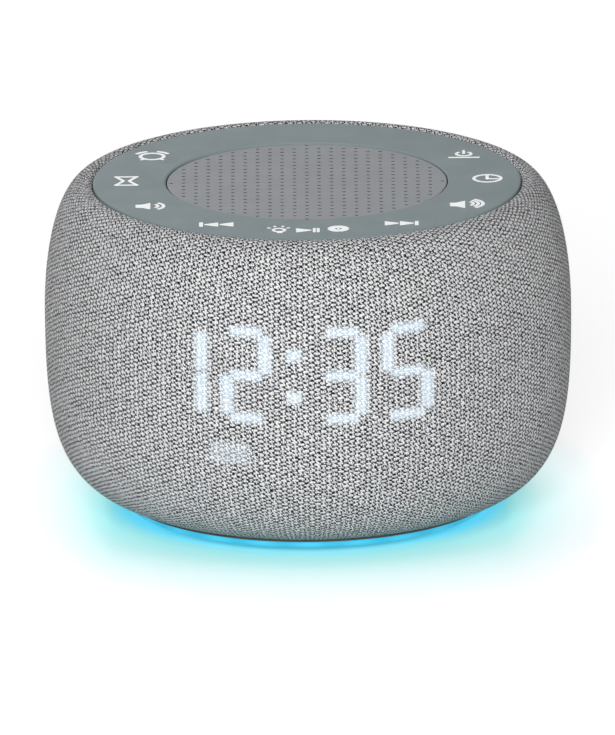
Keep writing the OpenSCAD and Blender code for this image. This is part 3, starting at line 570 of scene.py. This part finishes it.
def layThreads(piece, profile, s):  # UV in threads: round the body, and up along it
    lengths = [0.0]
    for (r0, z0), (r1, z1) in zip(profile, profile[1:]):
        lengths.append(lengths[-1] + math.hypot(r1 - r0, z1 - z0))
    mesh = piece.data
    threads = mesh.uv_layers.new(name="threads")
    for face in mesh.polygons:
        corners = [(corner, mesh.loops[corner].vertex_index) for corner in face.loop_indices]
        places = [mesh.vertices[vertex].co for _, vertex in corners]
        turns = [math.atan2(place.x, -place.y) / (2 * math.pi) for place in places]
        if max(turns) - min(turns) > 0.5:  # across the seam, which is at the back
            turns = [t + 1 if t < 0 else t for t in turns]
        for (corner, vertex), turn in zip(corners, turns):
            up = lengths[vertex // s["around"]] / s["threadPitch"]
            threads.data[corner].uv = (turn * s["threadsAround"], up)


def clockBars(s):  # middles and half sizes of all that is lit, in the display's own plane
    w, h, b, flat = s["digitWidth"], s["digitHeight"], s["bar"], s["flatBar"]
    reachX, reachZ = (w - b) / 2, (h - flat) / 2
    level = {"a": (0, reachZ), "g": (0, 0), "d": (0, -reachZ)}
    upright = {"b": (reachX, reachZ / 2), "c": (reachX, -reachZ / 2),
               "f": (-reachX, reachZ / 2), "e": (-reachX, -reachZ / 2)}
    bars = []
    for x, lit in s["digits"]:
        for mark in lit:
            if mark in level:
                dx, dz = level[mark]
                bars.append((x + dx, dz, (w - s["flatShort"] * b) / 2, flat / 2))
            else:
                dx, dz = upright[mark]
                bars.append((x + dx, dz - math.copysign(s["uprightShift"] * b, dz),
                             b / 2, (reachZ - s["uprightShort"] * b) / 2))
    bars += [(x, z, s["dotSize"][0] / 2, s["dotSize"][1] / 2) for x, z in s["dots"]]
    return bars


def litBarGroup():  # how much light one bar sends to a place: 1 inside, falling off softly outside
    group = bpy.data.node_groups.new("litBar", "ShaderNodeTree")
    for label, kind in (("Place", "Vector"), ("Middle", "Vector"), ("Half", "Vector"),
                        ("Round", "Float"), ("Soft", "Float")):
        group.interface.new_socket(label, in_out="INPUT", socket_type="NodeSocket" + kind)
    group.interface.new_socket("Light", in_out="OUTPUT", socket_type="NodeSocketFloat")
    given = group.nodes.new("NodeGroupInput").outputs
    out = group.nodes.new("NodeGroupOutput")
    away = vectorMaths(group, "SUBTRACT", given["Place"], given["Middle"])
    past = vectorMaths(group, "SUBTRACT", vectorMaths(group, "ABSOLUTE", away), given["Half"])
    past = vectorMaths(group, "MAXIMUM", past, (0, 0, 0))
    gap = maths(group, "SUBTRACT", vectorMaths(group, "LENGTH", past), given["Round"])
    share = maths(group, "DIVIDE", gap, given["Soft"])
    group.links.new(spread(group, share, -0.5, 0.5, 1.0, 0.0), out.inputs[0])
    return group


def clockLight(tree, s):
    group = litBarGroup()
    parts = parted(tree, objectPlace(tree))
    lean = math.radians(s["turn"])
    across = maths(tree, "MULTIPLY_ADD", parts["Y"], -math.sin(lean),
                   maths(tree, "MULTIPLY", parts["X"], math.cos(lean)))
    up = maths(tree, "SUBTRACT", parts["Z"], s["middle"] * mm)
    shift = vectorMaths(tree, "SCALE", wander(tree, objectPlace(tree), s["frayScale"], 2.0))
    setInputs(shift.node, {"Scale": s["fray"] * mm})
    place = vectorMaths(tree, "ADD", joined(tree, across, 0.0, up), shift)

    def barLight(bar, rounding):
        x, z, halfX, halfZ = bar
        made = node(tree, "Group", node_tree=group)
        feed(tree, made.inputs["Place"], place)
        setInputs(made, {"Middle": (x * mm, 0, z * mm),
                         "Half": ((halfX - rounding) * mm, 1.0, (halfZ - rounding) * mm),
                         "Round": rounding * mm, "Soft": s["soft"] * mm})
        return made.outputs["Light"]

    x, z, width, height = s["marker"]
    marker = barLight((x, z, width / 2, height / 2), s["markerRounding"])
    total = maths(tree, "MULTIPLY", marker, s["markerShare"])
    for bar in clockBars(s):
        total = maths(tree, "MAXIMUM", total, barLight(bar, s["rounding"]))
    front = maths(tree, "LESS_THAN", parts["Y"], 0.0)
    return maths(tree, "MULTIPLY", total, front)


def wovenFinish(s, clock):  # bundles of warp crossed by single wefts, with pores where they meet, and painted shade where the yarns lie low and in the pores
    material, tree, shader = newFinish("wovenCover")

    def calc(work, *values):
        return maths(tree, work, *values)

    uv = node(tree, "UVMap", uv_map="threads").outputs[0]
    even = vectorMaths(tree, "MULTIPLY", uv, s["even"])
    shift = vectorMaths(tree, "MULTIPLY", wander(tree, even, s["wobbleSize"], 1.0),
                        (s["wobble"] / 2, s["wobble"], 0.0))
    parts = parted(tree, vectorMaths(tree, "ADD", uv, shift))
    u, v = parts["X"], parts["Y"]
    cellU, cellV = calc("FLOOR", u), calc("FLOOR", v)
    offU = calc("SUBTRACT", calc("FRACT", u), 0.5)
    offV = calc("SUBTRACT", calc("FRACT", v), 0.5)
    odd = calc("FLOORED_MODULO", calc("ADD", cellU, cellV), 2.0)
    side = calc("MULTIPLY_ADD", odd, 2.0, -1.0)  # which of the two is on top here

    def crown(off, width):  # round back of a thread across its width
        share = calc("DIVIDE", off, width / 2)
        return calc("SUBTRACT", 1.0, calc("MULTIPLY", share, share))

    def lift(off, rise):
        wave = calc("MULTIPLY", calc("COSINE", calc("MULTIPLY", off, math.pi)), side)
        return calc("MULTIPLY", wave, rise)

    warp = calc("ADD", crown(offU, s["warpWidth"]), lift(offV, s["warpRise"]))
    weft = calc("SUBTRACT", crown(offV, s["weftWidth"]), lift(offU, s["weftRise"]))
    top = calc("MAXIMUM", calc("MAXIMUM", warp, weft), s["lowest"])
    isWarp = calc("GREATER_THAN", warp, weft)
    dice = node(tree, "TexWhiteNoise", noise_dimensions="3D")
    feed(tree, dice.inputs["Vector"], joined(tree, cellU, cellV))
    chance = parted(tree, dice.outputs["Color"])

    def strokes(along, across):  # turns of the yarns in a bundle, or of the plies in a weft
        return calc("MULTIPLY_ADD", offU, along, calc("MULTIPLY", offV, across))

    turns = mixed(tree, isWarp, strokes(*s["weftStrokes"]), strokes(*s["warpStrokes"]))
    turns = calc("MULTIPLY_ADD", calc("SUBTRACT", chance["Y"], 0.5), s["loose"], turns)
    ridge = calc("COSINE", calc("MULTIPLY", turns, 2 * math.pi))
    ridge = calc("MULTIPLY_ADD", ridge, s["crisp"], s["crispShift"])
    ridge = spread(tree, ridge, -1.0, 1.0, -1.0, 1.0)
    fibre = calc("SUBTRACT", noise(tree, even, s["fibreSize"], 2.0), 0.5)
    tone = calc("MULTIPLY_ADD", calc("SUBTRACT", chance["X"], 0.5), s["dice"],
                spread(tree, isWarp, 0.0, 1.0, s["weftTone"], s["warpTone"]))
    tone = calc("MULTIPLY_ADD", fibre, s["fibre"], tone)
    # painted highlight: the crowns of the twisted plies are lighter and the grooves between them
    # darker
    tone = calc("MULTIPLY_ADD", ridge, s["plyHighlight"], tone)
    half, full = s["steps"]
    yarn = colourRamp(tree, tone, [(0.0, s["dark"]), (half, s["middle"]), (full, s["light"])])

    def fromEdge(off, size):  # the pores lie at the cells' corners
        return calc("MULTIPLY", calc("SUBTRACT", 0.5, calc("ABSOLUTE", off)), size)

    width, height = s["cell"]
    away = vectorMaths(tree, "LENGTH", joined(tree, fromEdge(offU, width), fromEdge(offV, height)))
    # painted shade: every other corner's pore is darker, as light from one side shades one kind of
    # crossing more
    turn = calc("FLOORED_MODULO", calc("ADD", calc("ROUND", u), calc("ROUND", v)), 2.0)
    near, far, strong, weak = s["pores"]
    pore = calc("MULTIPLY", spread(tree, away, near, far, 1.0, 0.0),
                spread(tree, turn, 0.0, 1.0, weak, strong))
    # painted shade: the cloth darkens where the yarns lie low and in the pores
    depth = calc("MULTIPLY", spread(tree, top, *s["sink"], s["deepest"], 1.0),
                 calc("SUBTRACT", 1.0, pore))
    cloth = mixColour(tree, depth, linearOf(s["pore"]), yarn)
    light = clockLight(tree, clock)
    thread = linearOf(s["glowThread"])
    lit = mixColour(tree, calc("MULTIPLY", light, s["haze"]), cloth, thread)
    feed(tree, shader.inputs["Base Color"], lit)
    setInputs(shader, s["surface"])
    veil = calc("MULTIPLY_ADD", depth, s["veil"], 1.0 - s["veil"])
    power = calc("MULTIPLY", calc("MULTIPLY", light, veil), s["glow"])
    feed(tree, shader.inputs["Emission Color"], mixColour(tree, power, (0, 0, 0), thread))
    ground = calc("MAXIMUM", top, s["sink"][0] - s["under"])
    bumped(tree, shader, calc("MULTIPLY_ADD", ridge, s["strokeRise"], ground), s["relief"] * mm)
    return material


def makeCover(s, window, weave, clock):
    profile = coverProfile(s)
    cover = turned("fabricCover", profile, s["around"])
    layThreads(cover, profile, s)
    cleanShell(cover)
    focusOn(cover)
    wall = cover.modifiers.new("wall", "SOLIDIFY")
    wall.thickness = s["thick"] * mm
    wall.offset = -1.0
    wall.use_even_offset = True
    applyAll(cover)
    selectNothing()
    bpy.ops.mesh.primitive_cube_add(
        size=1, location=(0, window["back"] * mm, window["middle"] * mm),
        scale=(window["width"] * mm, window["depth"] * mm, window["height"] * mm))
    cutAway(cover, bpy.context.object)
    smoothBy(cover, s["smooth"])
    wear(cover, wovenFinish(weave, clock))
    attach(cover, "housing")
    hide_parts("fabric_sleeve")


makeCover(bodyCurve, coverWindow, weaveSet, clockSet)
print("woven cover made")


# control ring: its windows close round the keys, so that it looks like one skin

ringSet = {
    "inner": 41.8, "outer": 63.4, "low": 97.0, "top": 98.8, "edge": 0.6, "lip": 0.35, "around": 288,
    "gap": 0.03, "cut": 8.0,  # the air round a key, and the height of the cutters
    "keyParts": 96, "slimParts": 64, "smooth": 30,
    "circle": 53.0, "keyRadius": 7.8, "turns": [30, 0, -30, -60, 240, 210, 180, 150],
    "slimCircle": 52.3, "slimTurns": [260.4, 270.0, 279.6], "slimWidth": 7.6, "slimLength": 14.0,
}


def makeRing(s):
    profile = [(s["inner"], s["low"]), (s["outer"], s["low"])]
    profile += arc(s["outer"] - s["edge"], s["top"] - s["edge"], s["edge"], 0, 90, 8)
    profile += [(s["inner"] + s["lip"], s["top"]), (s["inner"], s["top"] - s["lip"]),
                (s["inner"], s["low"])]
    ring = turned("controlRing", profile, s["around"])
    cleanShell(ring)
    for turn in s["turns"]:
        selectNothing()
        bpy.ops.mesh.primitive_cylinder_add(
            vertices=s["keyParts"], radius=(s["keyRadius"] + s["gap"]) * mm, depth=s["cut"] * mm,
            location=onCircle(s["circle"], turn, s["top"]))
        cutAway(ring, bpy.context.object)
    for turn in s["slimTurns"]:
        cutAway(ring, slimCutter(s, turn))
    smoothBy(ring, s["smooth"])
    wear(ring, finishes["softRing"])
    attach(ring, "housing")
    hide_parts("control_ring")


def slimCutter(s, turn):  # a cylinder whose two halves are drawn apart
    reach = (s["slimLength"] - s["slimWidth"]) / 2 * mm
    selectNothing()
    bpy.ops.mesh.primitive_cylinder_add(
        vertices=s["slimParts"], radius=(s["slimWidth"] / 2 + s["gap"]) * mm, depth=s["cut"] * mm)
    cutter = bpy.context.object
    for way in (-1, 1):
        bpy.ops.object.mode_set(mode="EDIT")
        mesh = bmesh.from_edit_mesh(cutter.data)
        for vertex in mesh.verts:
            vertex.select = vertex.co.x * way > tiny
        mesh.select_flush(True)
        bmesh.update_edit_mesh(cutter.data)
        bpy.ops.transform.translate(value=(way * reach, 0, 0))
        bpy.ops.object.mode_set(mode="OBJECT")
    cutter.rotation_euler = (0, 0, math.radians(turn))
    cutter.location = onCircle(s["slimCircle"], turn, s["top"])
    return cutter


makeRing(ringSet)
print("control ring made")


# printed symbols on the keys
# Every mark stands upright as seen from the front. "key" is the turn and the circle that the key
# sits at, and "at" is the symbol's place on it. A bar is (x, y, width, height, turn), a wedge is
# its corners, and a hoop is (x, y, radius, line, from, to). Turns are in degrees.

printSet = {
    "top": 98.8, "thick": 0.05, "proud": 0.04, "soft": 0.13, "softParts": 3, "hoopParts": 72,
}
inkSet = {
    "colour": "f2f4f4", "second": "ffffff", "mottle": 900, "grain": 5200, "depth": 0.006,
    "rough": (0.5, 0.62), "metal": 0.0, "paintedGlow": 0.22,  # painted light: the print glows a little, to read whiter
}

symbolSets = {
    "alarm": {"key": (150, 53.0), "at": (0.0, 1.4), "marks": [
        ("hoop", 0, 0, 4.0, 1.05, 0, 360),
        ("hoop", 0, 0, 6.0, 1.15, 106, 149), ("hoop", 0, 0, 6.0, 1.15, 31, 74),
        ("bar", -2.95, -3.35, 0.75, 1.5, -42), ("bar", 2.95, -3.35, 0.75, 1.5, 42)]},
    "timer": {"key": (180, 53.0), "at": (-0.45, 1.2), "marks": [
        ("bar", 0, 4.5, 7.2, 1.0, 0), ("bar", 0, -4.5, 7.2, 1.0, 0),
        ("bar", -1.9, 2.15, 0.95, 5.0, 26.6), ("bar", 1.9, 2.15, 0.95, 5.0, -26.6),
        ("bar", -1.9, -2.15, 0.95, 5.0, -26.6), ("bar", 1.9, -2.15, 0.95, 5.0, 26.6)]},
    "volumeDown": {"key": (210, 53.0), "at": (0.0, 0.1), "body": "key_volume_down", "marks": [
        ("wedge", (-4.7, -1.5), (-2.8, -1.6), (-2.8, 1.6), (-4.7, 1.5)),
        ("wedge", (-2.9, -1.6), (-0.35, -3.4), (-0.35, 3.4), (-2.9, 1.6)),
        ("hoop", -0.5, 0, 2.85, 0.95, -48, 48), ("hoop", -0.5, 0, 4.6, 1.0, -53, 53)]},
    "back": {"key": (240, 53.0), "at": (0.0, -1.0), "marks": [
        ("bar", -4.75, 0.1, 1.15, 4.3, 0),
        ("wedge", (-3.8, -0.35), (0.3, -2.1), (0.3, 2.1), (-3.8, 0.35)),
        ("wedge", (0.7, -0.35), (4.8, -2.25), (4.8, 2.25), (0.7, 0.35))]},
    "light": {"key": (260.4, 52.3), "at": (0.4, -1.9), "marks": [
        ("hoop", 0, 0, 2.15, 0.9, 0, 360), ("bar", 0.2, -2.35, 1.6, 1.5, 8),
        ("bar", -2.95, 2.25, 0.7, 1.25, 58), ("bar", -1.25, 3.8, 0.7, 1.3, 20),
        ("bar", 1.15, 3.85, 0.7, 1.3, -20), ("bar", 2.7, 2.2, 0.7, 1.25, -58)]},
    "play": {"key": (270.0, 52.3), "at": (0.0, -1.6), "marks": [
        ("wedge", (-3.3, -2.1), (1.15, -0.35), (1.15, 0.35), (-3.3, 2.1)),
        ("bar", 2.05, 0, 0.85, 4.3, 0), ("bar", 3.2, 0, 0.85, 4.3, 0)]},
    "pair": {"key": (279.6, 52.3), "at": (0.4, -0.9), "marks": [
        ("hoop", 0, 0, 3.15, 2.1, 0, 360), ("hoop", 0, 0, 0.5, 0.35, 0, 360)]},
    "forward": {"key": (-60, 53.0), "at": (0.0, -1.3), "marks": [
        ("wedge", (-3.7, -2.2), (0.4, -0.35), (0.4, 0.35), (-3.7, 2.2)),
        ("wedge", (0.75, -2.2), (4.85, -0.35), (4.85, 0.35), (0.75, 2.2)),
        ("bar", 5.7, 0, 1.1, 4.3, 0)]},
    "volumeUp": {"key": (-30, 53.0), "at": (0.0, -0.95), "body": "key_volume_up", "marks": [
        ("wedge", (-3.8, -1.85), (-1.8, -1.9), (-1.8, 1.9), (-3.8, 1.85)),
        ("wedge", (-1.9, -1.9), (0.7, -3.9), (0.7, 3.9), (-1.9, 1.9)),
        ("hoop", 0.7, 0.8, 2.9, 0.95, -48, 54), ("hoop", 0.7, 0.8, 4.4, 0.95, -52, 58),
        ("hoop", 0.7, 0.8, 5.8, 1.0, -54, 60)]},
    "clock": {"key": (0, 53.0), "at": (0.45, 0.7), "marks": [
        ("hoop", 0, 0, 4.5, 1.0, 0, 360),
        ("bar", -0.1, 1.35, 0.95, 4.2, 0), ("bar", 1.35, -0.45, 3.8, 0.95, 0)]},
    "power": {"key": (30, 53.0), "at": (0.75, 1.3), "marks": [
        ("hoop", 0, 0, 2.65, 0.9, 125, 415),
        ("bar", 0, 2.0, 0.85, 3.9, 0), ("bar", 0, -3.9, 9.4, 1.05, 0)]},
}


def softenCorners(mark):  # printed corners are never quite sharp
    focusOn(mark)
    bpy.ops.object.mode_set(mode="EDIT")
    bpy.ops.mesh.select_all(action="SELECT")
    bpy.ops.mesh.bevel(
        offset=printSet["soft"] * mm, segments=printSet["softParts"], affect="VERTICES")
    bpy.ops.object.mode_set(mode="OBJECT")


def barMark(x, y, width, height, turn):
    bpy.ops.mesh.primitive_plane_add(
        size=1, location=(x * mm, y * mm, 0), rotation=(0, 0, math.radians(turn)))
    mark = bpy.context.object
    mark.scale = (width * mm, height * mm, 1)
    settle(mark)
    softenCorners(mark)
    return mark


def wedgeMark(*corners):
    bpy.ops.mesh.primitive_circle_add(vertices=len(corners), radius=mm, fill_type="NGON")
    mark = bpy.context.object
    for vertex, (x, y) in zip(mark.data.vertices, corners):
        vertex.co = (x * mm, y * mm, 0)
    softenCorners(mark)
    return mark


def hoopMark(x, y, radius, line, start, end):  # a disc without its middle and what is past the arc
    bpy.ops.mesh.primitive_circle_add(
        vertices=printSet["hoopParts"], radius=radius * mm, fill_type="NGON")
    mark = bpy.context.object
    bpy.ops.object.mode_set(mode="EDIT")
    bpy.ops.mesh.select_all(action="SELECT")
    bpy.ops.mesh.inset(thickness=line * mm)
    bpy.ops.mesh.delete(type="FACE")

    def pastArc(face):
        middle = face.calc_center_median()
        return (math.degrees(math.atan2(middle.y, middle.x)) - start) % 360 > end - start

    if end - start < 360:
        selectFaces(mark, pastArc)
        bpy.ops.mesh.delete(type="FACE")
    bpy.ops.object.mode_set(mode="OBJECT")
    mark.location = (x * mm, y * mm, 0)
    settle(mark)
    return mark


def faceUp(piece):
    focusOn(piece)
    bpy.ops.object.mode_set(mode="EDIT")
    selectFaces(piece, lambda face: face.normal.z < 0)
    bpy.ops.mesh.flip_normals()
    bpy.ops.object.mode_set(mode="OBJECT")


def makeSymbol(name, s):
    makers = {"bar": barMark, "wedge": wedgeMark, "hoop": hoopMark}
    marks = []
    for kind, *values in s["marks"]:
        selectNothing()
        marks.append(makers[kind](*values))
    selectNothing()
    for mark in marks:
        mark.select_set(True)
    bpy.context.view_layer.objects.active = marks[0]
    bpy.ops.object.join()
    piece = named("print_" + name)
    faceUp(piece)
    turn, circle = s["key"]
    keyX, keyY, height = onCircle(circle, turn, printSet["top"] + printSet["proud"])
    x, y = s["at"]
    piece.location = (keyX + x * mm, keyY + y * mm, height)
    settle(piece)
    ink = piece.modifiers.new("ink", "SOLIDIFY")
    ink.thickness = printSet["thick"] * mm
    ink.offset = -1.0
    applyAll(piece)
    wear(piece, finishes["printInk"])
    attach(piece, s.get("body", "key_" + name))


finishes["printInk"] = grained("printInk", inkSet)
for name, s in symbolSets.items():
    makeSymbol(name, s)
print("symbols printed:", len(symbolSets))


# finishes of the CAD pieces

nodeFinishes = {
    "darkShell": ["body_shell", "top_deck"],
    "softRing": ["key_power", "key_clock", "key_volume_up", "key_forward", "key_back",
                 "key_volume_down", "key_timer", "key_alarm", "key_light", "key_play", "key_pair"],
    "grilleGrey": ["speaker_grille"],
    "brownTrim": ["hem_ring"],
    "blackPlastic": ["rear_panel", "base_plate", "tact_switches", "board_parts"],
    "blackRubber": ["rubber_feet", "speaker_surround", "speaker_gasket"],
    "basketSteel": ["speaker_basket"],
    "conePaper": ["speaker_cone", "dust_cap"],
    "copperWire": ["voice_coil"],
    "spiderCloth": ["speaker_spider"],
    "zincSteel": ["top_plate", "pole_yoke", "power_inlet", "usb_socket", "backup_cell"],
    "ferrite": ["magnet"],
    "brassTags": ["speaker_terminals"],
    "screwSteel": ["speaker_screws", "display_screws", "board_screws", "base_screws"],
    "circuitBoard": ["key_board", "display_board", "jack_board", "main_board", "led_board"],
    "frostedLens": ["display_lens"],
    "whitePlastic": ["display_reflector"],
    "lampWhite": ["display_lamps", "ring_lamps"],
    "glowRing": ["light_ring"],
}
for finish, names in nodeFinishes.items():
    for name in names:
        wear(cadNodes[name], finishes[finish])
print("CAD pieces finished:", sum(len(n) for n in nodeFinishes.values()))


# floor and light

floorSet = {
    "size": 12000, "white": 0.86, "rough": 0.9,
    "own": 0.57, "shade": 0.16,  # the floor's own light, and how much painted light it gains where the body's shadow lies
    "shadeAway": (60.0, 100.0), "shadeBehind": (-55.0, -15.0),
    "forward": 3.0, "hug": (0.84, 1.9, 58.0),  # the painted glow hugs the sides, and ends sooner there
    "glow": [(46.0, "68d2e9"), (48.5, "82d9e6"), (51.3, "98dcdf"), (55.6, "a8e8e9"),
             (60.0, "b4e8e8"), (64.0, "c0eceb"), (69.0, "cff1f1"), (75.0, "dbf5f5"),
             (88.0, "edfafb"), (110.0, "ffffff")],  # painted light: the ring's glow painted into the floor's colour, by distance
}
lightSet = {
    "sky": 0.17,
    "softboxes": {  # place and size in metres, power in watts
        "front": {"place": (-0.1, -1.75, 0.72), "size": 1.0, "power": 30.0},
        "back": {"place": (-0.6, 1.6, 0.9), "size": 1.1, "power": 11.0},
    },
}


def floorFinish(s):
    material, tree, shader = newFinish("floor")
    place = parted(tree, objectPlace(tree))
    side = maths(tree, "ABSOLUTE", place["X"])
    inner, outer, start = s["hug"]
    side = maths(tree, "MAXIMUM", maths(tree, "MULTIPLY", side, inner),
                 maths(tree, "MULTIPLY_ADD", side, outer, (inner - outer) * start * mm))
    forward = maths(tree, "ADD", place["Y"], s["forward"] * mm)
    away = vectorMaths(tree, "LENGTH", joined(tree, side, forward))
    nearest, farthest = s["glow"][0][0], s["glow"][-1][0]
    steps = [((far - nearest) / (farthest - nearest), code) for far, code in s["glow"]]
    share = spread(tree, away, nearest * mm, farthest * mm, 0.0, 1.0)
    # painted light: the floor's colour turns cyan near the body, a painted pool of the ring's light
    paintedRingGlow = colourRamp(tree, share, steps)
    white = (s["white"],) * 3
    feed(tree, shader.inputs["Base Color"], mixColour(tree, 1.0, paintedRingGlow, white, "MULTIPLY"))
    feed(tree, shader.inputs["Emission Color"], paintedRingGlow)
    setInputs(shader, {"Roughness": s["rough"], "Specular IOR Level": 0.0})
    # painted light: the floor gives more light of its own where the body's shadow lies, lifting
    # that shadow
    near = spread(tree, away, *(v * mm for v in s["shadeAway"]), 1.0, 0.0)
    behind = spread(tree, place["Y"], *(v * mm for v in s["shadeBehind"]), 0.0, 1.0)
    shade = maths(tree, "MULTIPLY", near, behind)
    own = maths(tree, "MULTIPLY_ADD", shade, s["shade"], s["own"])
    feed(tree, shader.inputs["Emission Strength"], maths(tree, "MULTIPLY", seenDirectly(tree), own))
    return material


def makeFloor(s):
    selectNothing()
    bpy.ops.mesh.primitive_plane_add(size=s["size"] * mm)
    floor = named("floor")
    wear(floor, floorFinish(s))


def makeLight(s):
    world = bpy.data.worlds.new("studio")
    world.use_nodes = True
    bpy.context.scene.world = world
    tree = world.node_tree
    back = tree.nodes["Background"]
    setInputs(back, {"Color": (1, 1, 1, 1)})
    strength = spread(tree, seenDirectly(tree), 0.0, 1.0, s["sky"], 1.0)
    feed(tree, back.inputs["Strength"], strength)
    for name, box in s["softboxes"].items():
        bpy.ops.object.light_add(type="AREA", location=box["place"])
        lamp = bpy.context.object
        lamp.name = name + "Softbox"
        lamp.data.shape = "DISK"
        lamp.data.size = box["size"]
        lamp.data.energy = box["power"]
        lamp.rotation_mode = "QUATERNION"
        lamp.rotation_quaternion = lamp.location.to_track_quat("Z", "Y")


makeFloor(floorSet)
makeLight(lightSet)
bpy.context.scene.view_settings.view_transform = "Standard"
print("floor and lights placed")
